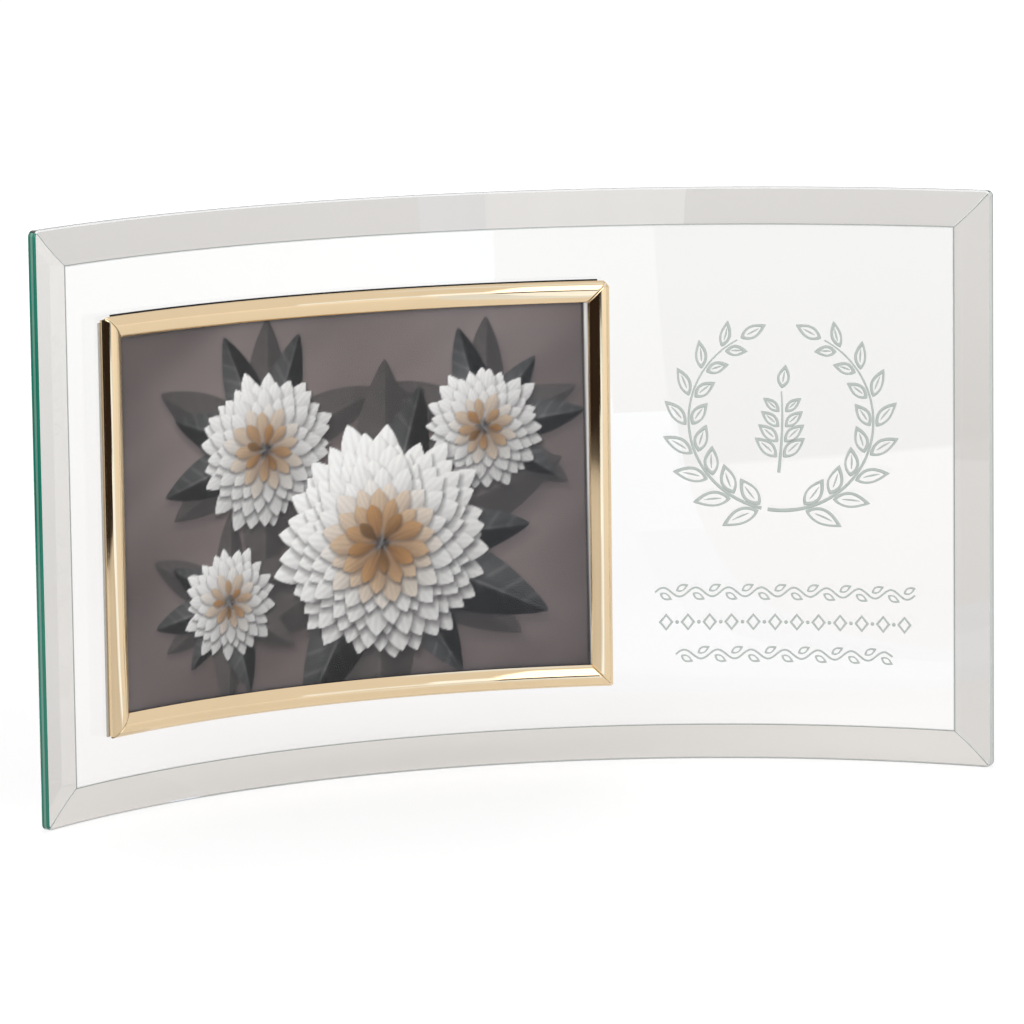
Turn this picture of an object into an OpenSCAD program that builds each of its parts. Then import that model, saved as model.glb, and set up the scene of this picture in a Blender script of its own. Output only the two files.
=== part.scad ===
// Curved glass photo frame: a thick bevelled glass panel, bent along its length, that stands on
// its own lower edge. A mitred metal moulding on its hollow side holds a print that slides in from
// the top.
// Millimetres. X runs along the panel, Y away from the viewer, Z up. The origin is the middle of
// the footprint, on the surface that the panel stands on.
// Two lengths describe every place on the bend: s runs along the front face from the middle of the
// panel, and h rises from the front face towards the viewer.

/* [Glass panel] */
// Height of the glass
glass_height = 190; // [175:1:240]
// Length of the glass along its bend
glass_arc = 340; // [320:1:420]
// Radius of the front face about the upright bend axis
bend_radius = 240; // [200:1:500]
// Thickness of the glass
glass_thick = 5; // [4:0.5:8]
// Width of the polished bevel
bevel_width = 12; // [8:0.5:16]
// Depth that the bevel takes off the front face at the edge
bevel_depth = 2; // [1:0.1:3]
// Size of the small arris ground on every long edge
arris = 0.4; // [0.2:0.1:0.8]
// Size of the clipped corners
corner_clip = 1.2; // [0.5:0.1:3]

/* [Print and its sheets] */
// Width of the print
print_width = 177.8; // [140:0.1:200]
// Height of the print
print_height = 127; // [100:0.1:135]
// Thickness of the print
print_thick = 0.25; // [0.2:0.01:0.5]
// Thickness of the clear cover sheet
cover_thick = 0.3; // [0.2:0.01:0.8]
// Thickness of the backing card
card_thick = 0.4; // [0.3:0.01:1.2]
// Height that the backing card stands above the moulding, as a grip
card_grip = 0; // [0:0.1:3]

/* [Moulding] */
// Distance from the left end of the glass to the moulding
bezel_inset = 27.25; // [20:0.25:60]
// Distance from the foot of the glass to the moulding
bezel_lift = 25.6; // [18:0.1:35]
// Width of the moulding
moulding_width = 7.4; // [6.6:0.1:12]
// Depth of the groove that takes the edges of the sheets
groove_depth = 3.8; // [3:0.1:5]
// Rise of the ridge above the back of the lip
arch_rise = 1.68; // [1.5:0.02:4]
// Distance from the outer edge to the ridge of the arch
ridge_inset = 3.4; // [2.6:0.1:4]
// Height of the outer wall, up to where the arch springs
wall_rise = 0.65; // [0.4:0.05:1.2]
// Thickness of the lip where the arch comes down to it
lip_thick = 0.45; // [0.3:0.05:1]
// Thickness of the lip at the sight edge itself
lip_edge = 0.08; // [0.04:0.02:0.2]
// Width of the chamfer along the sight edge
sight_chamfer = 0.4; // [0.2:0.05:0.8]
// Thickness of the leg behind the sheets
leg_thick = 0.35; // [0.3:0.05:1]
// Length that the leg reaches past the bottom of the groove
leg_reach = 3; // [1:0.1:3.2]
// Overlap of the top rail on the print
top_lap = 3; // [1.5:0.1:3.2]
// Gap left between two mitred ends
mitre_gap = 0.08; // [0.04:0.01:0.2]
// Size of the clipped outer corners at the head of the moulding
head_clip = 2.2; // [0.5:0.1:3]
// Size of the clipped outer corners at the foot of the moulding
foot_clip = 0.7; // [0.3:0.1:3]

/* [Tape and corner keys] */
// Thickness of the double-sided tape
tape_thick = 0.3; // [0.2:0.05:1]
// Distance from the edges of the leg to the tape
tape_inset = 0.6; // [0.3:0.1:1]
// Width of the left-hand tape that stands out beside the moulding
tape_proud = 0.8; // [0:0.1:1.5]
// Length of a key's arm
key_arm = 7; // [4:0.5:9]
// Width of a key's arm
key_width = 1.5; // [1:0.1:1.8]
// Thickness of a key
key_thick = 0.6; // [0.4:0.05:0.8]
// Distance from the outer edge of the moulding to the key
key_inset = 2; // [1.8:0.1:2.4]
// Height of the key above the back of the lip
key_lift = 0.35; // [0.3:0.05:0.4]

/* [Fits] */
// Gap between one sheet and the next, and between the sheets and the groove
sheet_gap = 0.18; // [0.1:0.01:0.3]
// Gap under the lower edges of the sheets
seat_gap = 0.2; // [0.1:0.05:0.3]
// Gap at each side of the print
side_play = 0.35; // [0.2:0.05:1]
// Gap round a corner key in its pocket
key_fit = 0.05; // [0.02:0.01:0.1]
// Gap left for the glue on each side of the tape
glue_gap = 0.02; // [0.01:0.01:0.04]

/* [Hidden] */
$fn = 240;
slack = 1;
outer_radius = bend_radius + glass_thick;
degrees = 180 / (PI * bend_radius);
half_angle = glass_arc / 2 * degrees;
bevel_angle = bevel_width * degrees;
front_reach = (bend_radius + bevel_depth + arris) * cos(half_angle);
axis_y = -(front_reach + outer_radius) / 2;

leg_top = tape_thick + leg_thick;
card_back = leg_top + sheet_gap;
print_back = card_back + card_thick + sheet_gap;
cover_back = print_back + print_thick + sheet_gap;
lip_back = cover_back + cover_thick + sheet_gap;
ridge_top = lip_back + arch_rise;
wall_top = tape_thick + wall_rise;
sight_top = lip_back + lip_thick;
groove_floor = moulding_width - groove_depth;
leg_end = groove_floor + leg_reach;

sheet_arc = print_width * bend_radius / (bend_radius - print_back - print_thick / 2);
bezel_left_s = -glass_arc / 2 + bezel_inset;
bezel_right_s = bezel_left_s + sheet_arc + 2 * (side_play + groove_floor);
sheet_left = (bezel_left_s + groove_floor + side_play) * degrees;
sheet_right = (bezel_right_s - groove_floor - side_play) * degrees;
sheet_foot = bezel_lift + groove_floor + seat_gap;
bezel_top_z = sheet_foot + print_height - top_lap + moulding_width;

// Stands its children on the bend, at the angle that belongs to s: x then runs along the glass,
// y away from the bend axis and z up.
module on_bend(angle) {
    translate([0, axis_y, 0])
        rotate([0, 0, -angle])
            children();
}

// Turns a section of radius and height about the bend axis, from one angle to another.
module bent(from_angle, to_angle) {
    translate([0, axis_y, 0])
        rotate([0, 0, 90 - to_angle])
            rotate_extrude(angle = to_angle - from_angle)
                children();
}

// Glass

// Section through the panel, with the bevels of its upper and lower edges.
module panel_section() {
    bevel_slope = bevel_depth / bevel_width;
    edge_front = bend_radius + bevel_depth;
    polygon([
        [bend_radius, bevel_width],
        [edge_front - arris * bevel_slope, arris],
        [edge_front + arris, 0],
        [outer_radius - arris, 0],
        [outer_radius, arris],
        [outer_radius, glass_height - arris],
        [outer_radius - arris, glass_height],
        [edge_front + arris, glass_height],
        [edge_front - arris * bevel_slope, glass_height - arris],
        [bend_radius, glass_height - bevel_width]
    ]);
}

// Everything that is ground off the right-hand end: the bevel, two arrises and two corners.
module end_grinding() {
    inner = [-bend_radius * sin(bevel_angle), bend_radius * cos(bevel_angle)];
    outer = [0, bend_radius + bevel_depth];
    run = outer - inner;
    past = 0.3;
    translate([0, 0, -slack])
        linear_extrude(glass_height + 2 * slack) {
            polygon([
                inner - past * run,
                outer + past * run,
                [outer.x + past * run.x, inner.y - bevel_width],
                [inner.x - past * run.x, inner.y - bevel_width]
            ]);
            polygon([
                [-2 * arris, outer.y - arris],
                [slack, outer.y + arris + slack],
                [slack, outer.y - arris]
            ]);
            polygon([
                [-arris - slack, outer_radius + slack],
                [slack, outer_radius - arris - slack],
                [slack, outer_radius + slack]
            ]);
        }
    for (z = [0, glass_height])
        translate([0, bend_radius - glass_thick, z])
            rotate([0, 45, 0])
                translate([-corner_clip / sqrt(2), 0, -corner_clip / sqrt(2)])
                    cube([sqrt(2) * corner_clip, 3 * glass_thick, sqrt(2) * corner_clip]);
}

module glass_panel() {
    color([0.78, 0.90, 0.87, 0.45])
        difference() {
            bent(-half_angle, half_angle)
                panel_section();
            on_bend(half_angle)
                end_grinding();
            on_bend(-half_angle)
                mirror([1, 0, 0])
                    end_grinding();
        }
}

// Moulding

// The arch in section, as points [distance in, height]: a quarter ellipse from the given angle up to
// the ridge, a flat arc down from the ridge, and the chamfer at the sight edge.
arch_steps = 8;
arch_run = moulding_width - sight_chamfer - ridge_inset;
arch_drop = ridge_top - sight_top;
arc_radius = (arch_run * arch_run + arch_drop * arch_drop) / (2 * arch_drop);
function arch(from_angle) = [
    for (i = [0 : arch_steps])
        let (angle = from_angle + (90 - from_angle) * i / arch_steps)
            [ridge_inset * (1 - cos(angle)), wall_top + (ridge_top - wall_top) * sin(angle)],
    for (i = [1 : arch_steps])
        let (angle = asin(arch_run / arc_radius) * i / arch_steps)
            [ridge_inset + arc_radius * sin(angle), ridge_top - arc_radius * (1 - cos(angle))],
    [moulding_width, lip_back + lip_edge],
    [moulding_width, lip_back]
];

// Three sides hold the sheets in a groove. The head is the arch alone, cut off behind the lip.
full_section = concat(
    arch(0),
    [
        [groove_floor, lip_back],
        [groove_floor, leg_top],
        [leg_end, leg_top],
        [leg_end, tape_thick],
        [0, tape_thick]
    ]
);
open_section = arch(asin((lip_back - wall_top) / (ridge_top - wall_top)));

// A section laid on the bend for a rail: edge_z is its outer edge, and inward is 1 or -1.
module rail(section, edge_z, inward) {
    bent(bezel_left_s * degrees, bezel_right_s * degrees)
        polygon([for (p = section) [bend_radius - p.y, edge_z + inward * p.x]]);
}

// A section laid on the bend for an upright stile, whose outer edge is at edge_s.
module stile(edge_s, inward) {
    translate([0, axis_y, bezel_lift])
        linear_extrude(bezel_top_z - bezel_lift)
            polygon([
                for (p = full_section)
                    let (angle = (edge_s + inward * p.x) * degrees)
                        (bend_radius - p.y) * [sin(angle), cos(angle)]
            ]);
}

// Stands its children at a corner of the moulding, so that x and z both run inwards from it.
module at_corner(left, bottom) {
    on_bend((left ? bezel_left_s : bezel_right_s) * degrees)
        translate([0, 0, bottom ? bezel_lift : bezel_top_z])
            mirror([left ? 0 : 1, 0, 0])
                mirror([0, 0, bottom ? 0 : 1])
                    children();
}

// What a mitre saw takes off a rail or a stile at a corner.
module mitre_waste(from_rail) {
    size = 3 * moulding_width;
    rotate([0, 45, 0])
        translate([from_rail ? mitre_gap / 2 - size : -mitre_gap / 2, bend_radius - size / 2, -size / 2])
            cube([size, size, 1.5 * size]);
}

// What is clipped off an outer corner of the moulding.
module clip_waste(clip) {
    translate([0, bend_radius - ridge_top / 2, 0])
        rotate([0, 45, 0])
            cube([sqrt(2) * clip, 2 * ridge_top, sqrt(2) * clip], center = true);
}

// An L-shaped key that lies in both lengths of a corner, grown all round by a fit.
module key_shape(fit) {
    reach = key_inset + key_arm;
    low = [key_inset - fit, bend_radius - lip_back - key_lift - key_thick - fit, key_inset - fit];
    thick = key_thick + 2 * fit;
    translate(low)
        cube([reach - key_inset + 2 * fit, thick, key_width + 2 * fit]);
    translate(low)
        cube([key_width + 2 * fit, thick, reach - key_inset + 2 * fit]);
}

// Everything that is cut away at a corner: the mitre, the key's pocket and the clip.
module corner_cut(left, bottom, from_rail) {
    at_corner(left, bottom) {
        mitre_waste(from_rail);
        key_shape(key_fit);
        clip_waste(bottom ? foot_clip : head_clip);
    }
}

module bezel_top_rail() {
    color([0.86, 0.74, 0.56])
        difference() {
            rail(open_section, bezel_top_z, -1);
            for (left = [true, false])
                corner_cut(left, false, true);
        }
}

module bezel_bottom_rail() {
    color([0.86, 0.74, 0.56])
        difference() {
            rail(full_section, bezel_lift, 1);
            for (left = [true, false])
                corner_cut(left, true, true);
        }
}

module cut_stile(left) {
    color([0.84, 0.71, 0.53])
        difference() {
            stile(left ? bezel_left_s : bezel_right_s, left ? 1 : -1);
            for (bottom = [true, false])
                corner_cut(left, bottom, false);
        }
}

module bezel_left_stile() {
    cut_stile(true);
}

module bezel_right_stile() {
    cut_stile(false);
}

module corner_key(left, bottom) {
    color([0.72, 0.60, 0.38])
        at_corner(left, bottom)
            key_shape(0);
}

module corner_key_top_left() {
    corner_key(true, false);
}

module corner_key_top_right() {
    corner_key(false, false);
}

module corner_key_bottom_left() {
    corner_key(true, true);
}

module corner_key_bottom_right() {
    corner_key(false, true);
}

// Tape

tape_width = leg_end - 2 * tape_inset;

// A strip of tape on the front face of the glass.
module tape(from_s, to_s, to_z) {
    from_z = bezel_lift + tape_inset;
    color([0.93, 0.93, 0.90])
        bent(from_s * degrees, to_s * degrees)
            translate([bend_radius - tape_thick + glue_gap, from_z])
                square([tape_thick - 2 * glue_gap, to_z - from_z]);
}

module tape_left() {
    to_s = bezel_left_s + tape_inset + tape_width;
    tape(bezel_left_s - tape_proud, to_s, bezel_top_z - head_clip);
}

module tape_right() {
    to_s = bezel_right_s - tape_inset;
    tape(to_s - tape_width, to_s, bezel_top_z - moulding_width);
}

module tape_bottom() {
    tape(bezel_left_s + leg_end, bezel_right_s - leg_end, bezel_lift + tape_inset + tape_width);
}

// Sheets

// A flat sheet bent to lie in the groove.
module sheet(back_h, thick, height) {
    bent(sheet_left, sheet_right)
        translate([bend_radius - back_h - thick, sheet_foot])
            square([thick, height]);
}

module cover_sheet() {
    color([0.90, 0.94, 0.96, 0.35])
        sheet(cover_back, cover_thick, print_height);
}

module photo_print() {
    color([0.49, 0.45, 0.45])
        sheet(print_back, print_thick, print_height);
}

module backing_card() {
    color([0.10, 0.10, 0.11])
        sheet(card_back, card_thick, bezel_top_z + card_grip - sheet_foot);
}

glass_panel();
bezel_top_rail();
bezel_bottom_rail();
bezel_left_stile();
bezel_right_stile();
corner_key_top_left();
corner_key_top_right();
corner_key_bottom_left();
corner_key_bottom_right();
tape_left();
tape_right();
tape_bottom();
cover_sheet();
photo_print();
backing_card();
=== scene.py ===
# %% [markdown]
# # A curved glass photo frame
#
# The object is a thick sheet of glass that is bent along its length and stands on its own lower
# edge. Its four edges carry a wide polished bevel. On the hollow side a small gold moulding holds a
# print, and the glass beside it is engraved.
#
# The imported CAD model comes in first, as a fixed frame. Everything below is dressed round it.

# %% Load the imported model
import math

import bpy
import numpy as np
from mathutils import Matrix, Vector


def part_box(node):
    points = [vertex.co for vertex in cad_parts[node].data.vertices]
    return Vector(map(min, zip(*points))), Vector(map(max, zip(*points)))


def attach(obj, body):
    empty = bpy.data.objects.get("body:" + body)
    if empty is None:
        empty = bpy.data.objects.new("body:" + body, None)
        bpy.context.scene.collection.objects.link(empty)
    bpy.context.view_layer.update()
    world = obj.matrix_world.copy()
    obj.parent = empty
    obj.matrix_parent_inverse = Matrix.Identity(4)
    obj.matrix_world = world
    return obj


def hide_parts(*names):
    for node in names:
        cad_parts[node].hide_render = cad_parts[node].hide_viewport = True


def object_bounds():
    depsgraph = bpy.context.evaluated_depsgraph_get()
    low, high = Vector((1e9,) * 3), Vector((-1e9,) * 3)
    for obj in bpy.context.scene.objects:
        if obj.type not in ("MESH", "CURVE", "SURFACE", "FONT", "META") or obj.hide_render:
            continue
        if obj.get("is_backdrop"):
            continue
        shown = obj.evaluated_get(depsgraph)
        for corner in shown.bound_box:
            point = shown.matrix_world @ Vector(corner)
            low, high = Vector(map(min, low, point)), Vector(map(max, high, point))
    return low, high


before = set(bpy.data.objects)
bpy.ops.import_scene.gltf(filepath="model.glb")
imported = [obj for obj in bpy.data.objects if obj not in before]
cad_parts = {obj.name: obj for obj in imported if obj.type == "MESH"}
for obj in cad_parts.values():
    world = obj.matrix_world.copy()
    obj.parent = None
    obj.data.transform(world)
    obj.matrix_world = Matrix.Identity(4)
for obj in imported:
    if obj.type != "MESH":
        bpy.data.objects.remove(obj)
cad_low, cad_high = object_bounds()
print("CAD box in metres:", [round(side, 4) for side in cad_high - cad_low])

# %% [markdown]
# ## Places on the bend
#
# Glass, moulding and print all follow one bend, so a place on them is easiest to give as three
# lengths: s along the front face from its middle, h out of that face towards the viewer, and z up.
# One could also model everything flat and bend it with a modifier, but then nothing would lie
# exactly where the CAD pieces are. Reading the CAD pieces in the same three lengths tells where the
# moulding and its sheets sit, so the dressed pieces follow if the CAD model changes.

# %% Places on the bend
MM = 0.001
bend_radius = 240 * MM
glass_thick = 5 * MM
arris = 0.4 * MM
glass_places = [vertex.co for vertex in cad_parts["glass_panel"].data.vertices]
rim_corner = max(glass_places, key=lambda place: place.x)
rim_radius = bend_radius + glass_thick - arris
axis_y = rim_corner.y - math.sqrt(rim_radius**2 - rim_corner.x**2)


def on_bend(s, h, z):
    """World places of points given along the bend, out of it and up, one row each."""
    s, h, z = np.broadcast_arrays(np.asarray(s, float), h, z)
    turn = s / bend_radius
    reach = bend_radius - h
    return np.stack([reach * np.sin(turn), axis_y + reach * np.cos(turn), z], axis=-1)


def extent(node):
    """Lowest and highest s, h and z of a CAD node."""
    places = np.array([vertex.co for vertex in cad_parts[node].data.vertices])
    x, y, z = places[:, 0], places[:, 1] - axis_y, places[:, 2]
    lengths = np.stack([bend_radius * np.arctan2(x, y), bend_radius - np.hypot(x, y), z])
    return lengths.min(axis=1), lengths.max(axis=1)


print("bend axis at y =", round(axis_y / MM, 3), "mm")

# %% [markdown]
# ## The camera
#
# The photograph looks slightly down at the frame from its left, through a long lens. The camera is
# described the way a photographer would set it up: what it aims at, from how far and from which
# side. Its place follows from those, which is easier to adjust than raw coordinates.

# %% The camera
aim_point = Vector((0.0111, 0.0255, 0.0846))
camera_distance = 2.1269
camera_azimuth = math.radians(-15.594)
camera_elevation = math.radians(8.757)
camera_roll = math.radians(-0.7294)

sight_line = Vector((
    -math.sin(camera_azimuth) * math.cos(camera_elevation),
    math.cos(camera_azimuth) * math.cos(camera_elevation),
    -math.sin(camera_elevation),
))
level_right = Vector((math.cos(camera_azimuth), math.sin(camera_azimuth), 0))
level_up = level_right.cross(sight_line)
camera_right = math.cos(camera_roll) * level_right + math.sin(camera_roll) * level_up
camera_up = math.cos(camera_roll) * level_up - math.sin(camera_roll) * level_right

camera_data = bpy.data.cameras.new("camera")
camera_data.lens = 227.774
camera_data.sensor_width = 36
camera_data.sensor_fit = "HORIZONTAL"
camera = bpy.data.objects.new("camera", camera_data)
bpy.context.scene.collection.objects.link(camera)
camera.matrix_world = (
    Matrix.Translation(aim_point - camera_distance * sight_line)
    @ Matrix((camera_right, camera_up, -sight_line)).transposed().to_4x4()
)
bpy.context.scene.camera = camera
print("camera at", [round(value, 3) for value in camera.matrix_world.translation])

# %% [markdown]
# ## Colours and blank materials
#
# Colours are easiest to judge as they show on a screen, from 0 to 255, while shaders want linear
# light. Two small functions turn the first into the second. A few more make an empty material and a
# node with its sockets set.

# %% Colours and blank materials
def to_light(shares):
    """Screen colours, as shares from 0 to 1, in linear light."""
    return np.where(shares <= 0.04045, shares / 12.92, ((shares + 0.055) / 1.055) ** 2.4)


def linear(red, green, blue):
    """A screen colour, 0 to 255, as the linear red, green, blue and alpha that shaders take."""
    return (*to_light(np.array([red, green, blue]) / 255).tolist(), 1.0)


def blank_material(name):
    """A new material without nodes, with its node and link lists."""
    material = bpy.data.materials.new(name)
    material.use_nodes = True
    material.node_tree.nodes.clear()
    return material, material.node_tree.nodes, material.node_tree.links


def add_node(nodes, kind, **sockets):
    """A node of one kind, with the given sockets set; an underscore stands for a space."""
    node = nodes.new(kind)
    for socket, value in sockets.items():
        node.inputs[socket.replace("_", " ")].default_value = value
    return node


print("a mid grey of 128 is", round(linear(128, 128, 128)[0], 3), "in linear light")

# %% [markdown]
# No real surface is quite even. A noise texture gives soft patches, and these steer the colour, the
# roughness and a faint relief of each finish, so that it doesn't look dead flat.

# %% Building blocks of a finish
def patches(nodes, links, scale):
    """A socket with soft random patches, from about 0.3 to 0.7, finer with a larger scale."""
    place = nodes.new("ShaderNodeTexCoord")
    noise = add_node(nodes, "ShaderNodeTexNoise", Scale=scale, Detail=3)
    links.new(place.outputs["Object"], noise.inputs["Vector"])
    return noise.outputs["Fac"]


def blended(nodes, links, share, first, second):
    """A socket with a colour that goes from the first colour to the second as the share grows."""
    blend = nodes.new("ShaderNodeMix")
    blend.data_type = "RGBA"
    blend.inputs["A"].default_value = first
    blend.inputs["B"].default_value = second
    links.new(share, blend.inputs["Factor"])
    return blend.outputs["Result"]


def spread(nodes, links, share, low, high):
    """A socket with a number that goes from low to high as soft patches go from 0.3 to 0.7."""
    stretch = add_node(
        nodes, "ShaderNodeMapRange", From_Min=0.3, From_Max=0.7, To_Min=low, To_Max=high
    )
    links.new(share, stretch.inputs["Value"])
    return stretch.outputs["Result"]


def add_relief(nodes, links, height, shader, strength, depth):
    """Gives a shader a fine relief, from a socket with its height."""
    bump = add_node(nodes, "ShaderNodeBump", Strength=strength, Distance=depth)
    links.new(height, bump.inputs["Height"])
    links.new(bump.outputs["Normal"], shader.inputs["Normal"])


def switched(nodes, links, share, first, second):
    """A socket with the first shader where the share is 0 and the second where it is 1."""
    choice = nodes.new("ShaderNodeMixShader")
    links.new(share, choice.inputs["Fac"])
    links.new(first, choice.inputs[1])
    links.new(second, choice.inputs[2])
    return choice.outputs["Shader"]


def show(nodes, links, shader):
    """Makes a shader's socket the surface of its material."""
    output = nodes.new("ShaderNodeOutputMaterial")
    links.new(shader, output.inputs["Surface"])


print("patches, relief and switches are ready")

# %% [markdown]
# ## Making a piece
#
# Every piece is made the same way: an array of places, a list of faces, the materials with the
# number that each face takes, and the CAD body that it rides on. Faces are shaded smooth. An edge
# stays crisp where it is sharper than a given angle or, if the faces carry zone numbers, where two
# zones meet. That keeps mirror-like gold and glass free of facets.

# %% Making a piece
def keep_zone_borders_crisp(mesh, zones):
    """Marks every edge between two zones as sharp."""
    zones_at = {}
    for polygon, zone in zip(mesh.polygons, zones):
        for edge in polygon.edge_keys:
            zones_at.setdefault(edge, set()).add(zone)
    for edge in mesh.edges:
        edge.use_edge_sharp = len(zones_at[edge.key]) > 1


def make_piece(name, places, faces, materials, body, crisp=30, finish=None, zones=None):
    """A mesh piece that rides on a CAD body."""
    mesh = bpy.data.meshes.new(name)
    mesh.from_pydata(np.asarray(places).reshape(-1, 3).tolist(), [], faces)
    for material in materials:
        mesh.materials.append(material)
    if finish is not None:
        mesh.polygons.foreach_set("material_index", np.asarray(finish, np.int32))
    mesh.polygons.foreach_set("use_smooth", np.ones(len(faces), bool))
    mesh.update()
    if zones is None:
        mesh.set_sharp_from_angle(angle=math.radians(crisp))
    else:
        keep_zone_borders_crisp(mesh, zones)
    piece = bpy.data.objects.new(name, mesh)
    bpy.context.scene.collection.objects.link(piece)
    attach(piece, body)
    print(name, "has", len(mesh.vertices), "corners and", len(mesh.polygons), "faces")
    return piece


# %% [markdown]
# ## Glass finishes
#
# The glass is clear, but it doesn't look the same everywhere. The field is almost invisible on
# white. The bevels bend the light away and look pale grey. Through the ground ends one looks along
# the whole sheet, so the iron in it shows as deep green. A volume that swallows red light would do
# this by itself, but it renders slowly and doesn't survive an export, so each zone of the surface
# gets its own Principled glass. A Transparent shader takes its place for shadow rays, so the lamps
# reach what stands behind it.

# %% Clear glass
def rising_share(nodes, links, low, high, wander):
    """A share that rises from 0 to 1 between two heights, with a slight wander."""
    place = nodes.new("ShaderNodeTexCoord")
    split = nodes.new("ShaderNodeSeparateXYZ")
    rise = add_node(nodes, "ShaderNodeMapRange", From_Min=low, From_Max=high)
    total = nodes.new("ShaderNodeMath")
    links.new(place.outputs["Object"], split.inputs["Vector"])
    links.new(split.outputs["Z"], rise.inputs["Value"])
    links.new(rise.outputs["Result"], total.inputs[0])
    links.new(spread(nodes, links, wander, -0.05, 0.05), total.inputs[1])
    return total.outputs["Value"]


def lamps_pass(nodes, links, clear, tint):
    """Shows a clear shader, and swaps it for a plain tint where a lamp's light comes through."""
    passing = add_node(nodes, "ShaderNodeBsdfTransparent", Color=tint)
    ray = nodes.new("ShaderNodeLightPath")
    sockets = ray.outputs["Is Shadow Ray"], clear.outputs["BSDF"], passing.outputs["BSDF"]
    show(nodes, links, switched(nodes, links, *sockets))


def glass_finish(name, tint, second_tint, scale, roughness=0.0, rises=False):
    """Clear glass whose colour wanders in patches and, where it rises, darkens from the foot up as a
    painted shade; it lets lamps shine through.
    """
    material, nodes, links = blank_material(name)
    glass = add_node(
        nodes, "ShaderNodeBsdfPrincipled", Transmission_Weight=1.0, IOR=1.5, Roughness=roughness
    )
    share = patches(nodes, links, scale)
    if rises:
        share = rising_share(nodes, links, 10 * MM, 180 * MM, share)
    links.new(blended(nodes, links, share, tint, second_tint), glass.inputs["Base Color"])
    lamps_pass(nodes, links, glass, (0.97, 0.975, 0.97, 1))
    return material


print("glass bends light by an index of 1.5")

# %% [markdown]
# The field's colour is painted a little darker from the foot up. This painted shade evens out the
# brighter back of the studio that shows through its upper part. Each bevel shows its own part of the
# room, so each gets its own painted grey in place of what it refracts.

# %% The clear finishes
# Painted shade: each bevel's two greys stand in for the darker parts of the room that it refracts.
bevel_painted_shades = {
    "bevel_top": ((180, 175, 171), (188, 184, 180)),
    "bevel_bottom": ((192, 186, 179), (200, 194, 187)),
    "bevel_left": ((204, 200, 195), (197, 193, 187)),
    "bevel_right": ((182, 177, 172), (188, 184, 179)),
}
# The field's second colour, reached near the top, is a painted shade; the long edges' green is the
# glass's own.
glass_finishes = {
    "field": glass_finish("glass_field", linear(251, 249, 248), linear(232, 232, 231), 9, rises=True),
    "long_edge": glass_finish(
        "glass_long_edge", linear(205, 224, 216), linear(160, 196, 182), 30, roughness=0.15
    ),
}
for zone, (tint, second_tint) in bevel_painted_shades.items():
    glass_finishes[zone] = glass_finish("glass_" + zone, linear(*tint), linear(*second_tint), 12)
print(len(glass_finishes), "clear finishes")

# %% [markdown]
# The ground ends and the fine lines along a bevel are too narrow to work as real refraction at this
# size. They are opaque finishes with a wandering colour, a wandering roughness and a little gloss, and
# the same function later makes tape, card and paper. Their colours paint in what refraction would show:
# a painted highlight and a painted shade along the ridges, and pale and grey painted light on the ends
# over the glass's own green.

# %% Opaque finishes
def solid_finish(name, first, second, scale, low, high, relief=0.0, metallic=0.0):
    """An opaque finish: two colours in patches, roughness from low to high, and a fine relief."""
    material, nodes, links = blank_material(name)
    shader = add_node(nodes, "ShaderNodeBsdfPrincipled", Metallic=metallic)
    grain = patches(nodes, links, scale)
    links.new(blended(nodes, links, grain, first, second), shader.inputs["Base Color"])
    links.new(spread(nodes, links, grain, low, high), shader.inputs["Roughness"])
    if relief:
        add_relief(nodes, links, grain, shader, relief, 0.2 * MM)
    show(nodes, links, shader.outputs["BSDF"])
    return material


# end_green is the glass's own colour; the other end colours are painted light, and the two lines after
# them are a painted shade and a painted highlight along the ridges.
edge_colours = {
    "end_green": ((26, 124, 102), (36, 132, 110)),
    "end_middle": ((110, 158, 142), (128, 168, 154)),
    "end_pale": ((222, 226, 222), (208, 214, 209)),
    "end_grey": ((150, 157, 152), (166, 171, 166)),
    "painted_shade_line": ((158, 166, 161), (170, 176, 171)),
    "painted_highlight_line": ((246, 247, 246), (236, 238, 236)),
}
for zone, (first, second) in edge_colours.items():
    glass_finishes[zone] = solid_finish("glass_" + zone, linear(*first), linear(*second), 45, 0.1, 0.3)
glass_zone_names = list(glass_finishes)
print("glass zones:", ", ".join(glass_zone_names))

# %% [markdown]
# ## How deep the bevels are
#
# The long bevels are cones and the end bevels are planes. Where both would cut, the deeper cut
# wins, and that puts the mitre line where a glass cutter gets it.

# %% Depth of the bevels
bevel_width = 12 * MM
bevel_depth = 2 * MM
half_arc = 170 * MM
glass_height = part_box("glass_panel")[1].z
bevel_turn = bevel_width / bend_radius
bevel_run = bend_radius * math.sin(bevel_turn)
bevel_fall = bend_radius + bevel_depth - bend_radius * math.cos(bevel_turn)


def end_bevel_depth(from_end):
    """How deep the plane of an end bevel lies behind the front face."""
    turn = np.asarray(from_end) / bend_radius
    plane = bevel_run * (bend_radius + bevel_depth)
    return plane / (bevel_fall * np.sin(turn) + bevel_run * np.cos(turn)) - bend_radius


def matching_inset(from_end):
    """Distance from the long edge at which the long bevel is as deep as the end bevel is."""
    return float(bevel_width * (1 - end_bevel_depth(from_end) / bevel_depth))


def front_depth(s, z):
    """Depth of the front face behind the bend, bevels included."""
    from_end = half_arc - np.abs(s)
    from_edge = np.minimum(z, glass_height - z)
    end_cut = np.where(from_end < bevel_width, end_bevel_depth(from_end), 0)
    long_cut = np.clip(bevel_depth * (1 - from_edge / bevel_width), 0, None)
    return np.maximum(end_cut, long_cut)


print("the bevel is", round(float(end_bevel_depth(arris)) / MM, 2), "mm deep at the arris")

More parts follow.
